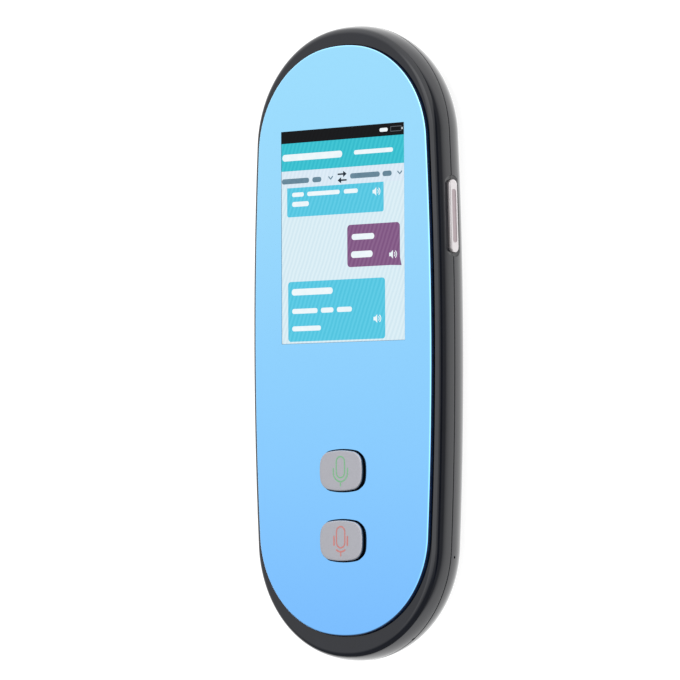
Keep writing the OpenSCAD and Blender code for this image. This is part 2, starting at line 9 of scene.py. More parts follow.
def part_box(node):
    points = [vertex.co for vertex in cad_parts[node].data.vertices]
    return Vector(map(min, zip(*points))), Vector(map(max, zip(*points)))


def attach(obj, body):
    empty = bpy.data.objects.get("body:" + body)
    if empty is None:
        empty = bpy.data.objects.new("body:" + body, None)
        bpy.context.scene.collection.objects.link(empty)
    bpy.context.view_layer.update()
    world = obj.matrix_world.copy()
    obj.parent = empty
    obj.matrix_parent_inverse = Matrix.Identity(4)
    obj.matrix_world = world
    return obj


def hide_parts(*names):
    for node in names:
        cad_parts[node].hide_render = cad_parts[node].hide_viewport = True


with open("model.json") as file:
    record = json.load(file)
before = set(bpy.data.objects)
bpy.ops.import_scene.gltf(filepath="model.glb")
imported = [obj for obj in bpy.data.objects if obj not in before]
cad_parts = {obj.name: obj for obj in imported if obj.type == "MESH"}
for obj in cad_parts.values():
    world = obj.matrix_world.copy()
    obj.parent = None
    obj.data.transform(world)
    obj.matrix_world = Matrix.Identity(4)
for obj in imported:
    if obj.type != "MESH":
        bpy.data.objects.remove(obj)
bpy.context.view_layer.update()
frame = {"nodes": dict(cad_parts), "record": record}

bl_info = {
    "name": "Handheld translator",
    "version": (1, 0, 0),
    "blender": (4, 5, 0),
    "location": "3D Viewport > Sidebar > Translator",
    "description": "Dresses the packed model of a handheld voice translator",
    "category": "Object",
}

MM = 0.001
# Places that the packed model gives: corners of its nodes, in metres
SHELL_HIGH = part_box("rear_shell")[1]
PANEL_LOW, PANEL_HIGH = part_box("front_panel")
UPPER_LOW, UPPER_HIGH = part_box("upper_key_face")
LOWER_LOW, LOWER_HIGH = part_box("lower_key_face")
USB_LOW, USB_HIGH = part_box("usb_socket")
GLASS_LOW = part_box("touch_glass")[0]

# Heights above the back and other fixed places inside the casing, in millimetres
SEAM_LOW = 7.38
SEAM_HIGH = 7.5
SHELL_FRONT = 11.8
RECESS_FLOOR = 11.0
DECK_UNDER = 9.8
WALL = 1.5
PICTURE_BACK = 12.545
LAYER = 0.012
SPEAKER_Y = -44.5
GRILLE_STEP = 2.4
RESET_PLACE = (0, -48.7, 6.0)

# Radii in the shells' sections: from the parting line up or down the side, then round the edge
FRONT_SIDE_ARC, FRONT_EDGE_ARC = 8.0, 1.6
REAR_SIDE_ARC, REAR_EDGE_ARC = 9.0, 5.2

# The display module in plan: its middle, its opening in the front shell and its glass's flange
DISPLAY_MIDDLE = (0.3, 21.75)
DISPLAY_OPENING = (43.1, 60.7)
GLASS_FLANGE = (42.7, 60.3)

# The side key as in the packed source: the middle of its face, its turn about Z in degrees, near to
# the slope of the casing's side, and its length, height and corner. The flange lies between FLANGE
# places behind the face, and the scoop round the key has a length, height and corner of its own.
SIDE_MIDDLE = (28.58, 27.6, 7.0)
SIDE_TURN = 1.5
SIDE_SIZE = (16.4, 2.7, 1.2)
SIDE_GAP = 0.12
SIDE_FLANGE = (-2.98, -2.38)
SIDE_WELL = -7.58
SCOOP_SIZE = (18.2, 5.6, 2.5)

# Direction of the microphone's slot, in degrees from +X
MIC_HEADING = -53.7

# The photograph's camera: turn about its own axes, shift and lens, fitted to the screen's corners
# and the front panel's outline, seen from the middle of the panel's front
CAMERA_TURN = (-0.03601, 0.70691, -0.01768)
CAMERA_SHIFT = (0.350 * MM, -0.052 * MM, 883.93 * MM)
CAMERA_LENS = 206.17


# ---- settings that a user would change ----

def metres(name, description, default):
    """A length as a setting."""
    return bpy.props.FloatProperty(name=name, description=description, default=default, unit="LENGTH")


class CasingSettings(bpy.types.PropertyGroup):
    """Outline of the two shells"""

    half_length: metres("Half length", "From the middle to the end of the casing", SHELL_HIGH.y)
    half_width: metres("Half width", "From the middle to the side of the casing", SHELL_HIGH.x)
    side_radius: metres("Side radius", "Radius of the long, nearly straight sides", 0.9)
    shoulder_radius: metres("Shoulder radius", "Radius of the four shoulders", 0.0272)
    end_radius: metres("End radius", "Radius across each end", 0.04)
    colour: bpy.props.FloatVectorProperty(
        name="Plastic", description="Colour of the moulded shells", size=3, subtype="COLOR",
        default=(0.003, 0.0042, 0.0085), min=0, max=1)


class PanelSettings(bpy.types.PropertyGroup):
    """Outline of the mirror panel"""

    half_length: metres(
        "Half length", "From the panel's middle to its end", (PANEL_HIGH.y - PANEL_LOW.y) / 2)
    half_width: metres(
        "Half width", "From the panel's middle to its side", (PANEL_HIGH.x - PANEL_LOW.x) / 2)
    side_radius: metres("Side radius", "Radius of the panel's long sides", 0.806)
    shoulder_radius: metres("Shoulder radius", "Radius of the panel's shoulders", 0.0236)
    end_radius: metres("End radius", "Radius across each end of the panel", 0.035)


class ScreenSettings(bpy.types.PropertyGroup):
    """The window and the lit picture"""

    width: metres("Width", "Width of the picture", 0.03672)
    height: metres("Height", "Height of the picture", 0.04896)
    top: metres("Top", "Height of the picture's top edge above the middle of the casing", 0.0489)
    shift: metres("Shift", "Shift of the picture to the right", 0.0003)
    brightness: bpy.props.FloatProperty(
        name="Brightness", description="How strongly the picture is lit", default=1.0, min=0,
        max=3, subtype="FACTOR")


class KeySettings(bpy.types.PropertyGroup):
    """The talk keys and their signs"""

    half_height: metres("Half height", "Half the height of a talk key", 0.0046)
    half_width: metres("Half width", "Half the width of a talk key", 0.0063)
    icon_line: metres("Icon line", "Width of the printed line of the microphone signs", 0.00036)


class StudioSettings(bpy.types.PropertyGroup):
    """The floor and the light"""

    floor_size: metres("Floor size", "Width of the pale floor", 5.0)
    fill: bpy.props.FloatProperty(
        name="Fill", description="Strength of the even light from all round", default=0.55, min=0,
        max=3, subtype="FACTOR")
    lamp_power: bpy.props.FloatProperty(
        name="Lamp power", description="Power of the large soft lamp", default=9.0, min=0,
        unit="POWER")


SETTINGS = {
    "translator_casing": CasingSettings,
    "translator_panel": PanelSettings,
    "translator_screen": ScreenSettings,
    "translator_keys": KeySettings,
    "translator_studio": StudioSettings,
}


# ---- shapes: every solid is (points in millimetres, faces) ----

def arc(centre, radius, start, end, steps):
    """Points on a circle: centre + radius * (cos a, sin a), with a from start to end in degrees."""
    angles = np.radians(np.linspace(start, end, steps))
    return np.stack([centre[0] + radius * np.cos(angles), centre[1] + radius * np.sin(angles)], axis=1)


def arcs_track(half_length, half_width, side, shoulder, end, steps=(14, 34, 12)):
    """Track round an outline of tangent arcs, as centres, radii and headings of its points.

    The shoulder's centre is where the circle of side - shoulder round the side's centre meets the
    circle of end - shoulder round the end's centre. A point is centre + radius * heading, so moving
    the outline in or out only changes the radius.
    """
    side_centre = np.array([half_width - side, 0.0])
    end_centre = np.array([0.0, half_length - end])
    apart = np.linalg.norm(end_centre - side_centre)
    a = side - shoulder
    b = end - shoulder
    u = (a * a - b * b + apart * apart) / (2 * apart)
    x = (end_centre - side_centre) / apart
    c = side_centre + x * u + np.array([-x[1], x[0]]) * math.sqrt(a * a - u * u)
    t1 = math.atan2(c[1], c[0] - side_centre[0])
    t2 = math.atan2(c[1] - end_centre[1], c[0])
    quarter = math.pi / 2
    pieces = [
        (side_centre, side, -t1, t1, steps[0]),
        (c, shoulder, t1, t2, steps[1]),
        (end_centre, end, t2, 2 * quarter - t2, steps[2]),
        (c * [-1, 1], shoulder, 2 * quarter - t2, 2 * quarter - t1, steps[1]),
        (-side_centre, side, 2 * quarter - t1, 2 * quarter + t1, steps[0]),
        (-c, shoulder, 2 * quarter + t1, 2 * quarter + t2, steps[1]),
        (-end_centre, end, 2 * quarter + t2, 4 * quarter - t2, steps[2]),
        (c * [1, -1], shoulder, 4 * quarter - t2, 4 * quarter - t1, steps[1]),
    ]
    centres = np.concatenate([np.tile(p[0], (p[4], 1)) for p in pieces])
    radii = np.concatenate([np.full(p[4], p[1], float) for p in pieces])
    angles = np.concatenate([np.linspace(p[2], p[3], p[4], endpoint=False) for p in pieces])
    return centres, radii, np.stack([np.cos(angles), np.sin(angles)], axis=1)


def box_track(width, height, corner, steps=7):
    """Track round a rectangle with round corners: four quarter turns about the corners' centres."""
    signs = np.array([[1, 1], [-1, 1], [-1, -1], [1, -1]], float)
    centres = np.repeat(signs * [width / 2 - corner, height / 2 - corner], steps, axis=0)
    turns = np.linspace(0, math.pi / 2, steps)
    angles = (np.arange(4)[:, None] * math.pi / 2 + turns[None, :]).ravel()
    return centres, np.full(4 * steps, corner, float), np.stack([np.cos(angles), np.sin(angles)], axis=1)


def round_track(radius, steps=24):
    """Track round a circle: one centre, even headings."""
    angles = np.linspace(0, 2 * math.pi, steps, endpoint=False)
    return np.zeros((steps, 2)), np.full(steps, radius), np.stack([np.cos(angles), np.sin(angles)], axis=1)


def rings(track, section, shift=(0.0, 0.0)):
    """Carries a section round a track: ring j is centre + (radius + out_j) * heading at height_j."""
    centres, radii, headings = track
    section = np.asarray(section, float)
    flat = centres[None] + (radii[None] + section[:, :1])[..., None] * headings[None] + np.asarray(shift)
    heights = np.broadcast_to(section[:, 1, None, None], flat.shape[:2] + (1,))
    return np.concatenate([flat, heights], axis=2)


def skin(loops):
    """Closed solid over a stack of rings: quads from each ring to the next, a flat face on each end.

    The faces are turned outwards where the volume under them, a sixth of the sum of a . (b x c)
    over their triangles, comes out negative.
    """
    loops = np.asarray(loops, float)
    rows, count = loops.shape[:2]
    points = loops.reshape(-1, 3)
    index = np.arange(rows * count).reshape(rows, count)
    after = np.roll(index, -1, axis=1)
    quads = np.stack([index[:-1], after[:-1], after[1:], index[1:]], axis=-1).reshape(-1, 4)
    first = index[0][::-1]
    last = index[-1]
    triangles = np.concatenate([
        quads[:, [0, 1, 2]], quads[:, [0, 2, 3]],
        np.stack([np.full(count - 2, first[0]), first[1:-1], first[2:]], axis=1),
        np.stack([np.full(count - 2, last[0]), last[1:-1], last[2:]], axis=1)])
    a, b, c = (points[triangles[:, k]] for k in range(3))
    faces = quads.tolist() + [first.tolist(), last.tolist()]
    if np.einsum("ij,ij->i", a, np.cross(b, c)).sum() < 0:
        faces = [face[::-1] for face in faces]
    return points, faces


def prism(outline, low, high, shift=(0.0, 0.0)):
    """Upright solid on a flat outline: the outline at two heights, with a flat face on each."""
    flat = np.asarray(outline, float) + np.asarray(shift)
    loops = [np.column_stack([flat, np.full(len(flat), z)]) for z in (low, high)]
    return skin(loops)


def tube_ring(outer, inner, low, high, shift=(0.0, 0.0)):
    """Flat closed loop with an even width: quads over the top, bottom and both sides."""
    outer = np.asarray(outer, float) + np.asarray(shift)
    inner = np.asarray(inner, float) + np.asarray(shift)
    loops = [np.column_stack([outer, np.full(len(outer), low)]),
             np.column_stack([outer, np.full(len(outer), high)]),
             np.column_stack([inner, np.full(len(inner), high)]),
             np.column_stack([inner, np.full(len(inner), low)])]
    points = np.concatenate(loops)
    index = np.arange(len(points)).reshape(4, -1)
    after = np.roll(index, -1, axis=1)
    below = np.roll(index, -1, axis=0)
    below_after = np.roll(after, -1, axis=0)
    quads = np.stack([index, after, below_after, below], axis=-1).reshape(-1, 4)
    return points, quads.tolist()


def together(*solids):
    """Several solids as one: their points in a row, their faces counted on."""
    points = []
    faces = []
    start = 0
    for solid_points, solid_faces in solids:
        points.append(solid_points)
        faces += [[i + start for i in face] for face in solid_faces]
        start += len(solid_points)
    return np.concatenate(points), faces


def turned(solid, axes):
    """The solid with its axes given other names: axes lists which old axis becomes X, Y and Z."""
    points, faces = solid
    odd = np.linalg.det(np.eye(3)[list(axes)]) < 0
    return points[:, list(axes)], [face[::-1] for face in faces] if odd else faces


def moved(solid, shift):
    """The solid moved by a shift."""
    return solid[0] + np.asarray(shift, float), solid[1]


def stroke(path, width):
    """Outline of a drawn line: the path moved half its width to each side, closed by half circles."""
    path = np.asarray(path, float)
    step = np.gradient(path, axis=0)
    step /= np.linalg.norm(step, axis=1)[:, None]
    side = np.stack([step[:, 1], -step[:, 0]], axis=1) * width / 2
    first = math.degrees(math.atan2(step[0, 1], step[0, 0]))
    last = math.degrees(math.atan2(step[-1, 1], step[-1, 0]))
    end_cap = arc(path[-1], width / 2, last - 90, last + 90, 7)[1:-1]
    start_cap = arc(path[0], width / 2, first + 90, first + 270, 7)[1:-1]
    return np.concatenate([path + side, end_cap, (path - side)[::-1], start_cap])


def straight(start, end, steps=3):
    """Evenly spaced points from start to end."""
    share = np.linspace(0, 1, steps)[:, None]
    return np.asarray(start) * (1 - share) + np.asarray(end) * share


# ---- making the pieces ----

def plain_object(name, solid):
    """A new object from a solid in millimetres, at the origin."""
    points, faces = solid
    mesh = bpy.data.meshes.new(name)
    mesh.from_pydata((points * MM).tolist(), [], faces)
    mesh.update()
    piece = bpy.data.objects.new(name, mesh)
    bpy.context.scene.collection.objects.link(piece)
    return piece


def carve(piece, cutters):
    """Takes the cutting solids out of the piece with exact booleans, one after another."""
    tools = [plain_object(f"cutter_{k}", solid) for k, solid in enumerate(cutters)]
    for tool in tools:
        cut = piece.modifiers.new(tool.name, "BOOLEAN")
        cut.operation = "DIFFERENCE"
        cut.solver = "EXACT"
        cut.object = tool
    graph = bpy.context.evaluated_depsgraph_get()
    carved = bpy.data.meshes.new_from_object(piece.evaluated_get(graph))
    piece.modifiers.clear()
    whole = piece.data
    piece.data = carved
    bpy.data.meshes.remove(whole)
    for tool in tools:
        mesh = tool.data
        bpy.data.objects.remove(tool)
        bpy.data.meshes.remove(mesh)
    if not carved.polygons:
        raise RuntimeError(f"cutting left nothing of {piece.name}")


def dress(piece, finishes, body, nodes=(), sharp=28):
    """Gives a piece its finishes, soft shading with crisp edges and its body, and hides the nodes it
    replaces.
    """
    mesh = piece.data
    for finish in finishes:
        mesh.materials.append(finish)
    mesh.polygons.foreach_set("use_smooth", np.ones(len(mesh.polygons), bool))
    mesh.set_sharp_from_angle(angle=math.radians(sharp))
    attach(piece, body)
    if nodes:
        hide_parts(*nodes)
    return piece


def shell_edge(centre_out, side_arc, edge_arc, rim, flat, steps=(16, 16)):
    """Section of a shell edge, from the rim to the flat: a large arc that starts upright at the
    rim, then a small arc tangent to it and to the flat."""
    up = 1.0 if flat > rim else -1.0
    rise = abs(flat - rim) - edge_arc
    inner = centre_out + math.sqrt((side_arc - edge_arc) ** 2 - rise ** 2)
    turn = math.degrees(math.atan2(rise, inner - centre_out))
    side = arc((centre_out, 0), side_arc, 0, turn, steps[0])
    edge = arc((inner, rise), edge_arc, turn, 90, steps[1])
    return np.concatenate([side, edge[1:]]) * [1, up] + [0, rim]


def outline_track(settings):
    """The casing's or the panel's outline as a track, in millimetres."""
    return arcs_track(settings.half_length / MM, settings.half_width / MM, settings.side_radius / MM,
                      settings.shoulder_radius / MM, settings.end_radius / MM)


def panel_middle():
    """The middle of the panel in plan, in millimetres."""
    return (0, (PANEL_LOW.y + PANEL_HIGH.y) / 2 / MM)


def key_track(settings):
    """A talk key's outline as a track, in millimetres."""
    return arcs_track(settings.half_height / MM, settings.half_width / MM, 14.0, 3.0, 22.0, (8, 10, 8))


def beside(solid):
    """A solid drawn upright from the middle of the side key's face, laid along the casing's side:
    its height becomes X, then it is turned about Z and moved."""
    points, faces = turned(solid, (2, 0, 1))
    c = math.cos(math.radians(SIDE_TURN))
    s = math.sin(math.radians(SIDE_TURN))
    return points @ np.array([[c, s, 0], [-s, c, 0], [0, 0, 1]]) + SIDE_MIDDLE, faces


def side_hole():
    """The side key's hole and the shallow scoop round it, cut from the right."""
    length, height, corner = SIDE_SIZE
    hole = skin(rings(box_track(length, height, corner), [[SIDE_GAP, SIDE_WELL], [SIDE_GAP, 0.9]]))
    scoop = skin(rings(box_track(*SCOOP_SIZE, 12),
                       [[-0.3, -0.65], [-0.08, -0.6], [0, -0.45], [0.28, 0.95]]))
    return [beside(hole), beside(scoop)]


def mic_slot(settings):
    """The microphone's slot in the parting line at the lower right, cut along the wall's normal."""
    heading = math.radians(MIC_HEADING)
    out = np.array([math.cos(heading), math.sin(heading)])
    across = np.array([-out[1], out[0]])
    track = outline_track(settings)
    nearest = np.argmax((track[0] + track[1][:, None] * track[2]) @ out)
    centre = track[0][nearest]
    reach = track[1][nearest]
    points, faces = skin(rings(box_track(1.0, 0.7, 0.3), [[0, reach - 3.5], [0, reach + 1]]))
    placed = centre + points[:, 2:3] * out + points[:, :1] * across
    return np.column_stack([placed, points[:, 1] + SEAM_HIGH]), faces


# ---- finishes ----

def linear(code):
    """Scene-linear RGBA of an sRGB hex colour."""
    share = np.array([int(code[k:k + 2], 16) for k in (1, 3, 5)]) / 255
    value = np.where(share <= 0.04045, share / 12.92, ((share + 0.055) / 1.055) ** 2.4)
    return (*value.tolist(), 1.0)


def add(tree, kind, settings=None, values=None, links=None):
    """Adds one shader node, with its own settings, its sockets' values and what feeds its sockets."""
    node = tree.nodes.new("ShaderNode" + kind)
    for key, value in (settings or {}).items():
        setattr(node, key, value)
    for key, value in (values or {}).items():
        node.inputs[key].default_value = value
    for key, source in (links or {}).items():
        tree.links.new(source, node.inputs[key])
    return node


def ranged(tree, source, reach, change=(0, 1)):
    """Maps a value from one range to another, held at the ends."""
    return add(tree, "MapRange",
               values={"From Min": reach[0], "From Max": reach[1], "To Min": change[0], "To Max": change[1]},
               links={"Value": source}).outputs["Result"]


def emptied(holder):
    """A new material or world and its node tree, with no nodes in it."""
    holder.use_nodes = True
    holder.node_tree.nodes.clear()
    return holder, holder.node_tree


def looked_at(tree, path):
    """A node that gives 1 to rays of the camera, of a reflection or through a clear piece, else 0."""
    either = add(tree, "Math", settings={"operation": "MAXIMUM"},
                 links={0: path.outputs["Is Camera Ray"], 1: path.outputs["Is Glossy Ray"]})
    return add(tree, "Math", settings={"operation": "MAXIMUM"},
               links={0: either.outputs["Value"], 1: path.outputs["Is Transmission Ray"]})


def surface(name, tones, rough, grain, bump=(0.0, 1.0), stretch=(1, 1, 1), pattern="noise",
            glow=None, shader=None):
    """A finish: two tones and a range of roughness follow one grain, and a finer one gives relief.

    grain is the size of the mottling and bump is (height, size) of the relief, in millimetres.
    stretch draws the grain out along an axis. pattern is noise, weave or streaks.
    """
    finish, tree = emptied(bpy.data.materials.new(name))
    place = add(tree, "TexCoord")
    drawn = add(tree, "Mapping", values={"Scale": stretch},
                links={"Vector": place.outputs["Object"]})
    mottle = add(tree, "TexNoise",
                 values={"Scale": 1000 / grain, "Detail": 5.0, "Roughness": 0.6},
                 links={"Vector": drawn.outputs["Vector"]}).outputs["Fac"]
    if pattern in ("weave", "streaks"):
        angle = 45 if pattern == "weave" else 22
        slanted = add(tree, "Mapping", values={"Rotation": (0, 0, math.radians(angle))},
                      links={"Vector": place.outputs["Object"]})
        bands = add(tree, "TexWave",
                    values={"Scale": 314 / grain, "Distortion": 1.6, "Detail": 3.0},
                    links={"Vector": slanted.outputs["Vector"]})
        mottle = bands.outputs["Fac"]
    spread = ranged(tree, mottle, (0.3, 0.7))
    tone = add(tree, "Mix", settings={"data_type": "RGBA"},
               values={6: linear(tones[0]) if isinstance(tones[0], str) else tones[0],
                       7: linear(tones[1]) if isinstance(tones[1], str) else tones[1]},
               links={0: spread})
    gloss = ranged(tree, mottle, (0.3, 0.7), rough)
    principled = add(tree, "BsdfPrincipled", values=shader or {},
                     links={"Roughness": gloss})
    if glow is None:
        tree.links.new(tone.outputs[2], principled.inputs["Base Color"])
    else:
        principled.inputs["Base Color"].default_value = (0.004, 0.004, 0.005, 1)
        principled.inputs["Emission Strength"].default_value = glow
        tree.links.new(tone.outputs[2], principled.inputs["Emission Color"])
    if bump[0]:
        fine = add(tree, "TexNoise",
                   values={"Scale": 1000 / bump[1], "Detail": 3.0, "Roughness": 0.55},
                   links={"Vector": drawn.outputs["Vector"]})
        relief = add(tree, "Bump", values={"Strength": 1.0, "Distance": bump[0] * MM},
                     links={"Height": fine.outputs["Fac"]})
        tree.links.new(relief.outputs["Normal"], principled.inputs["Normal"])
    add(tree, "OutputMaterial", links={"Surface": principled.outputs["BSDF"]})
    return finish


def mirror_finish():
    """Acrylic sheet with a vacuum-coated blue mirror on its back: a sharp, tinted reflection under a clear
    hard-coated face. Its blue is painted deeper from the screen end to the key end: painted shade in the
    reflection."""
    finish, tree = emptied(bpy.data.materials.new("vacuum_coated_acrylic"))
    place = add(tree, "TexCoord")
    parts = add(tree, "SeparateXYZ", links={"Vector": place.outputs["Object"]})
    # Painted shade in the reflection: the mirror's blue grades deeper from the screen end to the key end
    along = ranged(tree, parts.outputs["Y"], (-66 * MM, 67 * MM))
    ramp = add(tree, "ValToRGB", links={"Fac": along})
    reflection_shade_stops = ((0.0, "#7CBEFF"), (0.28, "#89CBFF"), (0.5, "#90D2FE"), (0.72, "#99D9FD"), (1.0, "#9EDEFE"))
    for position, code in reflection_shade_stops[1:-1]:
        ramp.color_ramp.elements.new(position)
    elements = sorted(ramp.color_ramp.elements, key=lambda e: e.position)
    for element, (position, code) in zip(elements, reflection_shade_stops):
        element.position = position
        element.color = linear(code)
    haze = add(tree, "TexNoise", values={"Scale": 60.0, "Detail": 6.0},
               links={"Vector": place.outputs["Object"]})
    gloss = ranged(tree, haze.outputs["Fac"], (0, 1), (0.03, 0.06))
    ripple = add(tree, "TexNoise", values={"Scale": 45.0, "Detail": 1.0},
                 links={"Vector": place.outputs["Object"]})
    relief = add(tree, "Bump", values={"Strength": 1.0, "Distance": 0.004 * MM},
                 links={"Height": ripple.outputs["Fac"]})
    principled = add(tree, "BsdfPrincipled",
                     values={"Metallic": 1.0, "Coat Weight": 0.0},
                     links={"Base Color": ramp.outputs["Color"], "Roughness": gloss,
                            "Normal": relief.outputs["Normal"]})
    add(tree, "OutputMaterial", links={"Surface": principled.outputs["BSDF"]})
    return finish


METAL = {"Metallic": 1.0}


def node_finishes(casing):
    """One finish for each of the record's material slots, by slot."""
    plastic = (*casing.colour, 1.0)
    lighter = (*[min(1.0, 1.5 * value) for value in casing.colour], 1.0)
    return {
        # ABS moulded in a polished tool: deep gloss with a faint orange peel and wiped haze
        "gloss_black": surface("moulded_gloss_abs", (plastic, lighter), (0.05, 0.10), 7.0, (0.0012, 3.0)),
        # The same sheet as the mirror finish, where it isn't replaced
        "blue_mirror": mirror_finish(),
        # Acrylic foam tape, die cut: matt and slightly cellular
        "black_tape": surface("acrylic_foam_tape", ("#0D0D0E", "#161617"), (0.75, 0.9), 0.4, (0.02, 0.15)),
        # Float glass with a black printed back: a hard, clean reflection
        "touch_glass": surface("printed_cover_glass", ("#050608", "#090B0E"), (0.03, 0.05), 5.0,
                               shader={"IOR": 1.52}),
        # Laminated cell with its polariser: satin dark film
        "display_cell": surface("polariser_film", ("#1B2A2C", "#243436"), (0.12, 0.22), 2.0),
        # Filled polycarbonate frame: white and satin
        "white_plastic": surface("filled_polycarbonate", ("#DAD9D4", "#E4E3DF"), (0.4, 0.5), 1.5,
                                 (0.004, 0.3)),
        # Polyimide film with copper beneath: amber, slightly banded along the tracks
        "amber_film": surface("polyimide_film", ("#A8641A", "#C98433"), (0.3, 0.42), 0.4, (0.006, 0.3),
                              (6, 1, 6)),
        # ABS moulded black, polished at the edge that shows
        "key_black": surface("polished_key_abs", ("#06070A", "#0C0D11"), (0.08, 0.16), 2.0, (0.0008, 1.5)),
        # Sprayed metallic lacquer on ABS: warm silver with fine flakes that sparkle
        "key_silver": surface("metallic_lacquer", ("#98989F", "#AEAEB5"), (0.3, 0.42), 0.12, (0.001, 0.1),
                              shader={"Metallic": 0.55, "Coat Weight": 0.4, "Coat Roughness": 0.12}),
        # Moulded silicone: soft grey with a dusty, matt skin
        "grey_silicone": surface("moulded_silicone", ("#6A6A6E", "#7A7A7F"), (0.6, 0.72), 0.8, (0.004, 0.2)),
        # Tinned steel, drawn and folded: brushed along its length
        "nickel": surface("tinned_steel", ("#A9AAAE", "#C3C4C8"), (0.22, 0.34), 0.5, (0.0015, 0.3), (1, 9, 1),
                          shader=METAL),
        # Glass-filled nylon: black with a slightly fibrous face
        "black_plastic": surface("glass_filled_nylon", ("#0E0E0F", "#1A1A1B"), (0.5, 0.62), 0.4,
                                 (0.004, 0.2)),
        # Epoxy-glass board under green solder resist, with the weave just showing
        "board_green": surface("solder_resist", ("#0C4A22", "#11602D"), (0.28, 0.4), 0.6, (0.003, 0.4),
                               pattern="weave"),
        # Epoxy moulding compound of a chip: fine, grey-black and matt
        "chip_black": surface("epoxy_compound", ("#141416", "#1F1F22"), (0.55, 0.68), 0.25, (0.003, 0.12)),
        # Moulded nylon connector: cream and satin
        "connector_cream": surface("moulded_nylon", ("#CFC3A6", "#DDD2B7"), (0.42, 0.52), 0.7, (0.003, 0.25)),
        # Zinc-plated steel screws: bright with a faint blue passivated bloom
        "screw_steel": surface("zinc_plated_steel", ("#A5A8AE", "#C5C7CB"), (0.25, 0.36), 0.4, (0.002, 0.2),
                               shader=METAL),
        # Gold flash over nickel: thin, warm and slightly uneven
        "gold_metal": surface("gold_flash", ("#CFA64B", "#E7C571"), (0.2, 0.32), 0.4, (0.002, 0.25),
                              shader=METAL),
        # Moulded nitrile rubber: black and dull
        "black_rubber": surface("moulded_nitrile", ("#111112", "#1B1B1C"), (0.65, 0.8), 0.5, (0.006, 0.2)),
        # Aluminium laminate pouch: soft silver with pressed creases
        "pouch_foil": surface("laminate_pouch", ("#AEB2B9", "#C8CBD0"), (0.25, 0.4), 4.0, (0.03, 3.0),
                              shader={"Metallic": 0.85}),
        # Silicone-insulated stranded wire
        "lead_wire": surface("insulated_wire", ("#6F0A0A", "#8A1010"), (0.4, 0.52), 0.5, (0.004, 0.4)),
        # Double-sided tissue tape: cream and fibrous
        "cream_tape": surface("tissue_tape", ("#D9D0B8", "#E6DEC9"), (0.7, 0.85), 0.5, (0.01, 0.2)),
        # Open polyurethane foam: dark with visible cells
        "dark_foam": surface("polyurethane_foam", ("#121213", "#26262A"), (0.85, 0.95), 0.3, (0.06, 0.3)),
        # Moulded loudspeaker frame
        "speaker_black": surface("speaker_moulding", ("#101012", "#1A1A1D"), (0.5, 0.6), 0.8, (0.004, 0.3)),
        # Woven polyester mesh, 0.3 mm thread spacing drawn as it is
        "mesh_black": surface("woven_polyester", ("#0B0B0C", "#2B2B2D"), (0.6, 0.8), 0.3, (0.03, 0.15),
                              pattern="weave"),
        # Rolled copper on film, lacquered
        "copper_film": surface("rolled_copper", ("#A9633A", "#C98254"), (0.25, 0.38), 1.0, (0.002, 0.3),
                               (1, 6, 1), shader=METAL),
    }


def named_finish(name, *settings, **more):
    """The finish of that name, made on its first use."""
    return bpy.data.materials.get(name) or surface(name, *settings, **more)


# ---- operators ----

class TRANSLATOR_OT_camera(bpy.types.Operator):
    """Set the camera where the photograph was taken"""

    bl_idname = "translator.camera"
    bl_label = "Camera"

    def execute(self, context):
        turn = Vector(CAMERA_TURN)
        facing = Matrix.Rotation(turn.length, 3, turn.normalized())
        swap = Matrix(((1, 0, 0), (0, -1, 0), (0, 0, -1)))
        panel_middle = Vector((0, (PANEL_LOW.y + PANEL_HIGH.y) / 2, PANEL_HIGH.z))
        place = panel_middle - swap @ facing.transposed() @ Vector(CAMERA_SHIFT)
        data = bpy.data.cameras.new("photograph")
        data.lens = CAMERA_LENS
        data.sensor_width = 36
        data.clip_start = 0.05
        data.clip_end = 20
        camera = bpy.data.objects.new("photograph", data)
        camera.matrix_world = Matrix.Translation(place) @ (swap @ facing.transposed() @ swap).to_4x4()
        context.scene.collection.objects.link(camera)
        context.scene.camera = camera
        return {"FINISHED"}


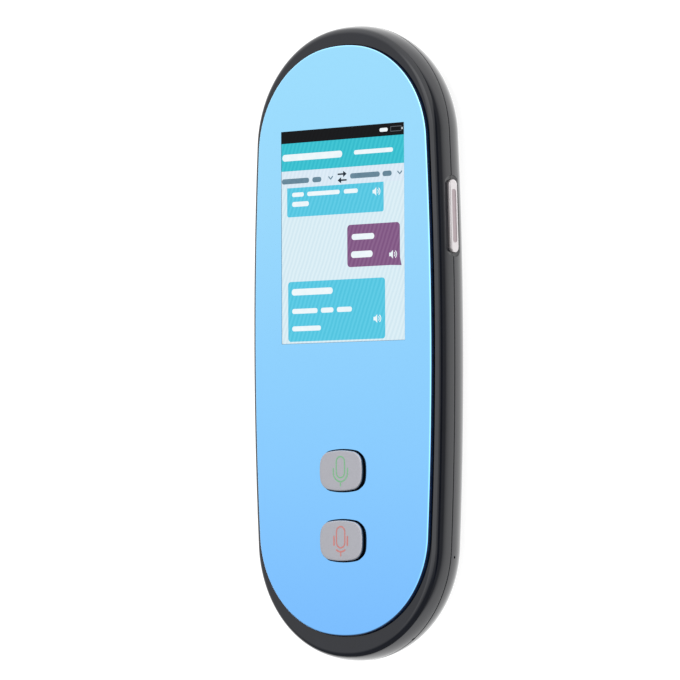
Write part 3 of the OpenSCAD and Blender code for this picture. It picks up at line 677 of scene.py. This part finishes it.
class TRANSLATOR_OT_stage(bpy.types.Operator):
    """Make the pale floor, the white surroundings and the soft lamps"""

    bl_idname = "translator.stage"
    bl_label = "Floor and light"

    def execute(self, context):
        studio = context.scene.translator_studio
        half = studio.floor_size / 2
        mesh = bpy.data.meshes.new("floor")
        corners = [(-half, -half), (half, -half), (half, half), (-half, half)]
        mesh.from_pydata([(x, y, -0.02 * MM) for x, y in corners], [], [[0, 1, 2, 3]])
        floor = bpy.data.objects.new("floor", mesh)
        context.scene.collection.objects.link(floor)
        mesh.materials.append(self.floor_finish())
        self.surroundings(context, studio)
        self.lamp(context, "soft_lamp", (-0.35, 0.75, 0.95), 0.7, studio.lamp_power)
        self.lamp(context, "fill_lamp", (0.55, -0.75, 0.8), 0.8, 0.45 * studio.lamp_power)
        view = context.scene.view_settings
        view.view_transform = "Standard"
        return {"FINISHED"}

    def floor_finish(self):
        """White paper: lit like any surface, and lifted to white for what looks at it directly.
        From below it lets the view through, so that the back can be looked at."""
        finish, tree = emptied(bpy.data.materials.new("matt_white_paper"))
        path = add(tree, "LightPath")
        seen = looked_at(tree, path)
        paper = add(tree, "BsdfDiffuse", values={"Color": linear("#A8A8A8")})
        lift = ranged(tree, seen.outputs["Value"], (0, 1), (0.3, 0.85))
        # In the gloss of the casing's right side the paper is bright close by and dark farther off
        place = add(tree, "TexCoord")
        parts = add(tree, "SeparateXYZ", links={"Vector": place.outputs["Object"]})
        near = ranged(tree, parts.outputs["X"], (42 * MM, 75 * MM), (1.6, 0.0))
        lift = add(tree, "Mix", settings={"data_type": "FLOAT"},
                   links={0: path.outputs["Is Glossy Ray"], 2: lift, 3: near})
        bright = add(tree, "Emission", values={"Color": (1, 1, 1, 1)},
                     links={"Strength": lift.outputs[0]})
        both = add(tree, "AddShader",
                   links={0: paper.outputs["BSDF"], 1: bright.outputs["Emission"]})
        clear = add(tree, "BsdfTransparent")
        side = add(tree, "NewGeometry")
        either = add(tree, "MixShader",
                     links={0: side.outputs["Backfacing"], 1: both.outputs["Shader"],
                            2: clear.outputs["BSDF"]})
        add(tree, "OutputMaterial", links={"Surface": either.outputs["Shader"]})
        return finish

    def surroundings(self, context, studio):
        """White to look at and weaker as light. Reflections are graded for the photograph's view."""
        world, tree = emptied(bpy.data.worlds.new("studio"))
        path = add(tree, "LightPath")
        seen = looked_at(tree, path)
        level = ranged(tree, seen.outputs["Value"], (0, 1), (studio.fill, 1.0))
        # In the gloss: a dark card on the right, a brighter ceiling, dimmer towards the foot
        place = add(tree, "TexCoord")
        parts = add(tree, "SeparateXYZ", links={"Vector": place.outputs["Generated"]})
        share = None
        for axis, reach, change in (("X", (0.78, 0.9), (1.0, 0.12)), ("Z", (0.8, 0.88), (1.0, 1.9)),
                                    ("Y", (-0.5, -0.1), (0.25, 1.0)), ("Y", (0.15, 0.6), (1.0, 1.8))):
            step = ranged(tree, parts.outputs[axis], reach, change)
            if share is None:
                share = step
            else:
                share = add(tree, "Math", settings={"operation": "MULTIPLY"},
                            links={0: share, 1: step}).outputs["Value"]
        level = add(tree, "Mix", settings={"data_type": "FLOAT"},
                    links={0: path.outputs["Is Glossy Ray"], 2: level, 3: share})
        sky = add(tree, "Background", values={"Color": (1, 1, 1, 1)},
                  links={"Strength": level.outputs[0]})
        add(tree, "OutputWorld", links={"Surface": sky.outputs["Background"]})
        context.scene.world = world

    def lamp(self, context, name, place, size, power):
        """A square soft lamp that faces the middle of the part."""
        data = bpy.data.lights.new(name, "AREA")
        data.energy = power
        data.size = size
        lamp = bpy.data.objects.new(name, data)
        lamp.location = place
        lamp.visible_glossy = False
        lamp.rotation_mode = "QUATERNION"
        lamp.rotation_quaternion = (-Vector(place)).to_track_quat("-Z", "Y")
        context.scene.collection.objects.link(lamp)


class TRANSLATOR_OT_finishes(bpy.types.Operator):
    """Give every node of the packed model the finish of its material slot"""

    bl_idname = "translator.finishes"
    bl_label = "Finishes of the packed nodes"

    def execute(self, context):
        finishes = node_finishes(context.scene.translator_casing)
        for subpart in frame["record"]["subparts"]:
            node = frame["nodes"][subpart["node"]]
            for holder in node.material_slots:
                holder.material = finishes[subpart["material_slot"]]
        return {"FINISHED"}


class TRANSLATOR_OT_rear_casing(bpy.types.Operator):
    """Make the rear shell with its grille, socket, slot and scoop"""

    bl_idname = "translator.rear_casing"
    bl_label = "Rear casing"

    def execute(self, context):
        settings = context.scene.translator_casing
        track = outline_track(settings)
        outer = shell_edge(-REAR_SIDE_ARC, REAR_SIDE_ARC, REAR_EDGE_ARC, SEAM_LOW, 0.0)
        inner = shell_edge(-REAR_SIDE_ARC, REAR_SIDE_ARC - WALL, REAR_EDGE_ARC - WALL, SEAM_LOW, WALL)
        rounding = arc((-0.14, SEAM_LOW - 0.14), 0.14, 90, 0, 5)
        lip = [[-WALL - 0.8, 5.4], [-WALL - 0.8, 8.55], [-WALL - 0.75, 8.6], [-WALL - 0.17, 8.6],
               [-WALL - 0.12, 8.55], [-WALL - 0.12, SEAM_LOW]]
        section = np.concatenate([
            [[inner[-1][0] - 1.0, WALL]],
            [point for point in inner[::-1] if point[1] < 5.35],
            lip,
            rounding,
            [point for point in outer if point[1] < SEAM_LOW - 0.2],
            [[outer[-1][0] - 0.3, 0.0]]])
        piece = plain_object("rear_casing", skin(rings(track, section)))
        carve(piece, side_hole() + [mic_slot(settings)] + self.small_holes(context))
        finish = bpy.data.materials["moulded_gloss_abs"]
        dress(piece, [finish], "casing", ["rear_shell"])
        return {"FINISHED"}

    def small_holes(self, context):
        """The reset pinhole, the charging socket's mouth and the 7 x 3 grille holes."""
        hole = skin(rings(round_track(0.3), [[0, 20], [0, 30]]))
        pin = moved(turned(hole, (2, 0, 1)), RESET_PLACE)
        socket_z = (USB_LOW.z + USB_HIGH.z) / 2 / MM
        mouth = skin(rings(box_track(9.7, 4.0, 1.9, 10), [[0.0, 66], [0.0, 71.8], [0.5, 72.6], [0.6, 75]]))
        mouth = moved((mouth[0][:, [0, 2, 1]] * [1, -1, 1], mouth[1]), (0, 0, socket_z))
        shapes = [pin, mouth]
        grille = skin(rings(round_track(0.55, 20), [[0.18, -1], [0.18, 0], [0, 0.18], [0, 3]]))
        for column in range(-3, 4):
            for row in range(-1, 2):
                place = (GRILLE_STEP * column, SPEAKER_Y + GRILLE_STEP * row, 0)
                shapes.append(moved(grille, place))
        return shapes


class TRANSLATOR_OT_front_casing(bpy.types.Operator):
    """Make the front shell with the panel's recess and the openings of screen and keys"""

    bl_idname = "translator.front_casing"
    bl_label = "Front casing"

    def execute(self, context):
        settings = context.scene.translator_casing
        track = outline_track(settings)
        recess = outline_track(context.scene.translator_panel)
        outer = shell_edge(-FRONT_SIDE_ARC, FRONT_SIDE_ARC, FRONT_EDGE_ARC, SEAM_HIGH, SHELL_FRONT)
        inner = shell_edge(-FRONT_SIDE_ARC, FRONT_SIDE_ARC - WALL, 0.4, SEAM_HIGH, DECK_UNDER)
        rounding = arc((-0.14, SEAM_HIGH + 0.14), 0.14, 0, -90, 5)
        lip = arc((0.22, SHELL_FRONT - 0.12), 0.12, 180, 90, 5)
        bowl = np.concatenate([[[-3.0, RECESS_FLOOR], [0.1, RECESS_FLOOR]], lip, [[0.4, SHELL_FRONT]]])
        edge = np.concatenate([
            [[outer[-1][0] - 0.2, SHELL_FRONT]],
            [point for point in outer[::-1] if point[1] > SEAM_HIGH + 0.2],
            rounding,
            inner,
            [[inner[-1][0] - 0.6, DECK_UNDER]]])
        loops = np.concatenate([rings(recess, bowl, panel_middle()), rings(track, edge)])
        piece = plain_object("front_casing", skin(loops))
        keys = context.scene.translator_keys
        openings = [skin(rings(key_track(keys), [[0.25, 8.5], [0.25, 12.5]], centre))
                    for centre in key_centres()]
        display = skin(rings(box_track(*DISPLAY_OPENING, 0.6), [[0, 8.5], [0, 12.5]], DISPLAY_MIDDLE))
        carve(piece, [display] + openings + side_hole() + [mic_slot(settings)])
        finish = bpy.data.materials["moulded_gloss_abs"]
        dress(piece, [finish], "casing", ["front_shell"])
        return {"FINISHED"}


def key_centres():
    """Middles of the two talk keys in plan, in millimetres."""
    return [((low.x + high.x) / 2 / MM, (low.y + high.y) / 2 / MM)
            for low, high in ((UPPER_LOW, UPPER_HIGH), (LOWER_LOW, LOWER_HIGH))]


class TRANSLATOR_OT_mirror_panel(bpy.types.Operator):
    """Make the mirror panel with its window and key holes"""

    bl_idname = "translator.mirror_panel"
    bl_label = "Mirror panel"

    def execute(self, context):
        track = outline_track(context.scene.translator_panel)
        front = PANEL_HIGH.z / MM
        back = PANEL_LOW.z / MM
        section = np.concatenate([
            [[-0.8, front]], arc((-0.3, front - 0.3), 0.3, 90, 0, 8), [[0, back]], [[-0.8, back]]])
        piece = plain_object("mirror_panel", skin(rings(track, section, panel_middle())))
        screen = context.scene.translator_screen
        window = skin(rings(box_track(screen.width / MM, screen.height / MM, 0.12),
                            [[0, back - 1], [0, front + 1]], screen_middle(screen)))
        keys = context.scene.translator_keys
        holes = [skin(rings(key_track(keys), [[0.15, back - 1], [0.15, front - 0.2], [0.42, front + 0.1]],
                            centre))
                 for centre in key_centres()]
        carve(piece, [window] + holes)
        # The cut and moulded edge of the tinted sheet: a deep blue that is partly the sheet's tint and partly
        # painted shade on the steep edge faces
        edge = named_finish("acrylic_edge_painted_shade", ("#0D1A33", "#1A2F55"), (0.10, 0.18), 2.0)
        dress(piece, [bpy.data.materials["vacuum_coated_acrylic"], edge], "casing",
              ["front_panel"])
        mesh = piece.data
        normals = np.zeros(3 * len(mesh.polygons), np.float32)
        mesh.polygons.foreach_get("normal", normals)
        # Faces that turn steeply away from the front take the edge's painted shade
        steep_painted_shade = (normals.reshape(-1, 3)[:, 2] < 0.75).astype(np.int32)
        mesh.polygons.foreach_set("material_index", steep_painted_shade)
        mesh.update()
        return {"FINISHED"}


def screen_middle(screen):
    """The middle of the picture in plan, in millimetres."""
    return (screen.shift / MM, (screen.top - screen.height / 2) / MM)


def flat_box(track, middle, level):
    """A layer of the picture on a track."""
    return skin(rings(track, [[0, level], [0, level + LAYER / 2]], middle))


def label_bar(left, right, middle, height, level):
    """A rounded bar that stands for a word on the picture."""
    return flat_box(box_track(right - left, height, 0.48 * height, 6), ((left + right) / 2, middle), level)


def chat_box(left, right, low, high, corner, level):
    """A rounded box on the picture."""
    track = box_track(right - left, high - low, corner, 8)
    return flat_box(track, ((left + right) / 2, (low + high) / 2), level)


def sound_sign(centre, size, level):
    """A small loudspeaker sign: a box that widens to a cone, and two arcs."""
    body = np.array([[-0.9, -0.35], [-0.5, -0.35], [0.05, -0.85], [0.05, 0.85], [-0.5, 0.35], [-0.9, 0.35]])
    top = level + LAYER / 2
    shapes = [prism(body * size, level, top, centre)]
    for radius in (0.45, 0.85):
        path = arc((0.0, 0.0), radius * size, -48, 48, 9)
        shapes.append(prism(stroke(path + [0.12 * size, 0], 0.2 * size), level, top, centre))
    return together(*shapes)


class TRANSLATOR_OT_screen(bpy.types.Operator):
    """Make the window glass and the lit picture beneath its face"""

    bl_idname = "translator.screen"
    bl_label = "Screen"

    def execute(self, context):
        screen = context.scene.translator_screen
        middle = screen_middle(screen)
        left = middle[0] - screen.width / MM / 2
        right = middle[0] + screen.width / MM / 2
        top = screen.top / MM
        low = top - screen.height / MM
        back = GLASS_LOW.z / MM
        wide = rings(box_track(*GLASS_FLANGE, 0.4), [[-0.05, back], [0, back + 0.05], [0, back + 0.5]],
                     DISPLAY_MIDDLE)
        narrow = rings(box_track(screen.width / MM - 0.1, screen.height / MM - 0.1, 0.15),
                       [[0, back + 0.5], [0, PICTURE_BACK - 0.04], [-0.04, PICTURE_BACK]], middle)
        piece = plain_object("screen_glass", skin(np.concatenate([wide, narrow])))
        dress(piece, [bpy.data.materials["printed_cover_glass"]], "casing",
              ["touch_glass"])
        self.picture(screen.brightness, left + 0.06, right - 0.06, low + 0.06, top - 0.06)
        return {"FINISHED"}

    def lit(self, name, solid, tones, brightness, pattern="streaks"):
        """A layer of the lit picture, with the faint slanted beat of its fine pixel columns."""
        piece = plain_object(name, solid)
        # Lit liquid crystal picture behind bonded glass: even, faintly streaked, with a clean gloss
        finish = named_finish("lit_" + name, tones, (0.05, 0.08), 1.1, pattern=pattern, glow=brightness,
                              shader={"Specular IOR Level": 0.06})
        dress(piece, [finish], "casing")

    def picture(self, brightness, left, right, low, top):
        """The layers of the picture from back to front; words are plain bars."""
        levels = [PICTURE_BACK + LAYER * k / 2 + 0.001 for k in range(8)]
        row_low, head_low, status_low = 35.8, 39.7, 46.1
        self.lit("picture_backdrop", chat_box(left, right, low, top, 0.1, levels[0]),
                 ("#D3E8F1", "#DDEFF6"), brightness)
        cyan_boxes = together(
            chat_box(-16.3, 12.6, 29.1, 37.5, 0.5, levels[1]),
            chat_box(-16.1, 12.9, 0.45, 14.2, 0.8, levels[1]))
        self.lit("picture_cyan_boxes", cyan_boxes, ("#4FC3DE", "#5CCBE5"), brightness)
        tail = prism([[14.6, 16.9], [17.75, 16.75], [17.3, 18.6]], levels[1], levels[1] + LAYER / 2)
        purple = together(chat_box(1.8, 17.3, 16.9, 26.5, 0.9, levels[2]), tail)
        self.lit("picture_violet_box", purple, ("#7D5280", "#89608B"), brightness)
        self.lit("picture_choice_row", chat_box(left, right, row_low, head_low + 0.5, 0.05, levels[2]),
                 ("#D6E6F2", "#DEECF7"), brightness)
        self.lit("picture_heading", chat_box(left, right, head_low, status_low + 0.5, 0.05, levels[3]),
                 ("#2FBACB", "#3CC4D3"), brightness)
        self.lit("picture_status_bar", chat_box(left, right, status_low, top, 0.05, levels[4]),
                 ("#020304", "#040607"), brightness)
        outer = np.array([[14.7, 46.95], [17.9, 46.95], [17.9, 48.15], [14.7, 48.15]])
        inner = np.array([[14.85, 47.1], [17.75, 47.1], [17.75, 48.0], [14.85, 48.0]])
        self.lit("picture_battery", tube_ring(outer, inner, levels[5], levels[5] + LAYER / 2),
                 ("#565C62", "#5F666C"), brightness, "noise")
        self.lit("picture_words", self.words(levels), ("#E6F3F8", "#F4FAFC"), brightness, "noise")
        self.lit("picture_choices", self.choices(levels[4]), ("#5E7E90", "#6C8C9E"), brightness, "noise")
        self.lit("picture_arrows", self.arrows(levels[4]), ("#12222E", "#1C2E3B"), brightness, "noise")

    def words(self, levels):
        """White bars for the heading and the boxes' words, the battery's nub and the loudspeakers."""
        bars = [
            (-17.7, 0.4, 42.8, 1.55, 4), (3.9, 15.4, 42.9, 1.0, 4),
            (-14.8, -11.2, 34.2, 1.0, 2), (-10.2, -0.4, 34.2, 1.0, 2), (0.8, 5.0, 34.2, 1.0, 2),
            (-14.8, -9.7, 32.0, 1.15, 2), (3.1, 9.8, 23.7, 1.35, 3), (2.9, 9.3, 19.7, 1.5, 3),
            (-15.0, -2.6, 11.8, 1.5, 2), (-14.9, -7.2, 7.4, 1.15, 2), (-6.2, -2.4, 7.4, 1.15, 2),
            (-1.4, 3.1, 7.4, 1.15, 2), (-14.9, -6.2, 3.4, 1.15, 2), (11.5, 13.9, 47.5, 0.85, 5)]
        shapes = [label_bar(a, b, y, height, levels[k]) for a, b, y, height, k in bars]
        shapes.append(label_bar(17.95, 18.25, 47.55, 0.5, levels[5]))
        signs = (((10.4, 33.7), 2), ((15.2, 19.3), 3), ((10.5, 5.0), 2))
        shapes += [sound_sign(centre, 1.15, levels[k]) for centre, k in signs]
        return together(*shapes)

    def choices(self, level):
        """Grey-blue bars and chevrons of the two choices."""
        shapes = [label_bar(-17.9, -9.6, 37.35, 1.2, level), label_bar(-8.6, -5.9, 37.35, 1.2, level),
                  label_bar(2.7, 11.5, 37.6, 1.2, level), label_bar(12.3, 15.0, 37.6, 1.2, level)]
        for x, y in ((-3.1, 37.5), (17.35, 37.6)):
            path = np.array([[-0.56, 0.28], [-0.28, 0.0], [0.0, -0.28], [0.28, 0.0], [0.56, 0.28]])
            shapes.append(prism(stroke(path + [x, y], 0.3), level, level + LAYER / 2))
        return together(*shapes)

    def arrows(self, level):
        """Two opposed arrows that swap the choices."""
        head = np.array([[0.0, 0.72], [1.05, 0.0], [0.0, -0.72]])
        shaft = stroke(straight((-1.5, 0.0), (0.1, 0.0)), 0.36)
        top = level + LAYER / 2
        shapes = []
        for sign, centre in ((1, (0.65, 38.2)), (-1, (0.05, 36.8))):
            shapes.append(prism(head * sign, level, top, centre))
            shapes.append(prism(shaft * sign, level, top, centre))
        return together(*shapes)


class TRANSLATOR_OT_talk_keys(bpy.types.Operator):
    """Make the two talk keys' faces and their microphone signs"""

    bl_idname = "translator.talk_keys"
    bl_label = "Talk keys"

    def execute(self, context):
        keys = context.scene.translator_keys
        line = keys.icon_line / MM
        upper, lower = key_centres()
        rows = (
            ("upper_key", upper, UPPER_LOW.z, UPPER_HIGH.z, self.whole_sign, ("#6BA477", "#7FB58B")),
            ("lower_key", lower, LOWER_LOW.z, LOWER_HIGH.z, self.broken_sign, ("#B6706C", "#C67F7A")))
        for body, centre, low, high, sign, tones in rows:
            top = high / MM - 0.02
            base = low / MM
            section = np.concatenate([
                [[-1.2, top], [-0.6, top]], arc((-0.22, top - 0.2), 0.2, 90, 8, 6), [[0, base]]])
            section[:2, 1] = [top + 0.012, top + 0.01]
            cap = plain_object(body + "_cap", skin(rings(key_track(keys), section, centre)))
            dress(cap, [bpy.data.materials["metallic_lacquer"]], body, [body + "_face"])
            shapes = [moved(prism(outline, top + 0.008, top + 0.02), (*centre, 0)) for outline in sign(line)]
            cup_outer = arcs_of_capsule(1.42, 2.58, (0, 0.8))
            cup_inner = arcs_of_capsule(1.42 - line, 2.58 - line, (0, 0.8))
            shapes.append(tube_ring(cup_outer, cup_inner, top + 0.008, top + 0.02, centre))
            mark = plain_object(body + "_sign", together(*shapes))
            # Pad-printed ink on the lacquer: a soft, slightly uneven line
            ink = named_finish("pad_print_" + body, tones, (0.35, 0.5), 0.3)
            dress(mark, [ink], body)
        return {"FINISHED"}

    def whole_sign(self, line):
        """The upper sign's cup in one line from arm to arm, and its stem."""
        bowl = arc((0, -0.35), 2.12, 180, 360, 25)
        left = straight((-2.12, 0.5), (-2.12, -0.2))
        right = straight((2.12, -0.2), (2.12, 0.5))
        cup = np.concatenate([left, bowl, right])
        return [stroke(cup, line), stroke(straight((0, -2.84), (0, -3.45)), line)]

    def broken_sign(self, line):
        """The lower sign: two short arms, the bottom of the cup, and its stem."""
        arms = [stroke(straight((x, 0.9), (x, -1.0)), 1.25 * line) for x in (-1.98, 1.98)]
        bowl = arc((0, -0.35), 2.14, 234, 306, 13)
        return arms + [stroke(bowl, 1.1 * line), stroke(straight((0, -2.86), (0, -3.4)), line)]


def arcs_of_capsule(half_width, half_height, centre):
    """Outline of an upright capsule: two half circles joined by straight sides."""
    straight_part = half_height - half_width
    upper = arc((centre[0], centre[1] + straight_part), half_width, 0, 180, 13)
    lower = arc((centre[0], centre[1] - straight_part), half_width, 180, 360, 13)
    return np.concatenate([upper, lower])


class TRANSLATOR_OT_side_key(bpy.types.Operator):
    """Make the side key: a rounded rim with a painted highlight round a long, slightly dished middle with
    painted shade
    """

    bl_idname = "translator.side_key"
    bl_label = "Side key"

    def execute(self, context):
        length, height, corner = SIDE_SIZE
        section = np.concatenate([
            [[0.6, SIDE_FLANGE[0]], [0.6, SIDE_FLANGE[1]], [0, SIDE_FLANGE[1]]],
            arc((-0.3, -0.3), 0.3, 0, 90, 7), [[-0.42, 0]]])
        outer = rings(box_track(length, height, corner, 10), section)
        dish = rings(box_track(length - 4.4, height - 1.3, 0.6, 10), [[0, 0], [-0.12, -0.08], [-0.3, -0.1]])
        piece = plain_object("side_key_cap", beside(skin(np.concatenate([outer, dish]))))
        # Sprayed lacquer, painted lighter round the rim: a painted highlight where it catches the light
        rim = named_finish("rim_painted_highlight", ("#BEB8BA", "#CDC9CA"), (0.26, 0.36), 0.12, (0.001, 0.1),
                           shader={"Metallic": 0.5, "Coat Weight": 0.3, "Coat Roughness": 0.1})
        # The same lacquer, warmer, duller and painted darker in the dished middle: painted shade
        dish_shade = named_finish("dish_painted_shade", ("#94848A", "#A79A9D"), (0.36, 0.48), 0.15, (0.001, 0.1),
                            shader={"Metallic": 0.5, "Coat Weight": 0.2, "Coat Roughness": 0.2})
        dress(piece, [rim, dish_shade], "side_key", ["side_key"])
        # The dished middle takes the painted shade, the rim keeps the painted highlight
        count = outer.shape[1]
        index = np.zeros(len(piece.data.polygons), np.int32)
        index[-2 - 2 * count:-2] = 1
        index[-1] = 1
        piece.data.polygons.foreach_set("material_index", index)
        piece.data.update()
        return {"FINISHED"}


OPERATORS = [
    TRANSLATOR_OT_camera, TRANSLATOR_OT_stage, TRANSLATOR_OT_finishes, TRANSLATOR_OT_rear_casing,
    TRANSLATOR_OT_front_casing, TRANSLATOR_OT_mirror_panel, TRANSLATOR_OT_screen,
    TRANSLATOR_OT_talk_keys, TRANSLATOR_OT_side_key,
]


class TRANSLATOR_PT_pieces(bpy.types.Panel):
    """The settings and the pieces in the order in which they are made"""

    bl_idname = "TRANSLATOR_PT_pieces"
    bl_label = "Handheld translator"
    bl_space_type = "VIEW_3D"
    bl_region_type = "UI"
    bl_category = "Translator"

    def draw(self, context):
        for name, group in SETTINGS.items():
            box = self.layout.box()
            box.label(text=group.__doc__)
            for key in group.__annotations__:
                box.prop(getattr(context.scene, name), key)
        for operator in OPERATORS:
            self.layout.operator(operator.bl_idname)


def register():
    """Registers the settings, the operators and the panel."""
    for name, group in SETTINGS.items():
        bpy.utils.register_class(group)
        setattr(bpy.types.Scene, name, bpy.props.PointerProperty(type=group))
    for cls in [*OPERATORS, TRANSLATOR_PT_pieces]:
        bpy.utils.register_class(cls)


def unregister():
    """Takes them all away again."""
    for cls in [TRANSLATOR_PT_pieces, *OPERATORS[::-1]]:
        bpy.utils.unregister_class(cls)
    for name, group in SETTINGS.items():
        delattr(bpy.types.Scene, name)
        bpy.utils.unregister_class(group)


def main():
    """Makes every piece in order."""
    register()
    for operator in OPERATORS:
        step = getattr(bpy.ops.translator, operator.bl_idname.split(".")[1])
        if step() != {"FINISHED"}:
            raise RuntimeError(f"{operator.bl_label} was not made")


if __name__ == "__main__":
    main()
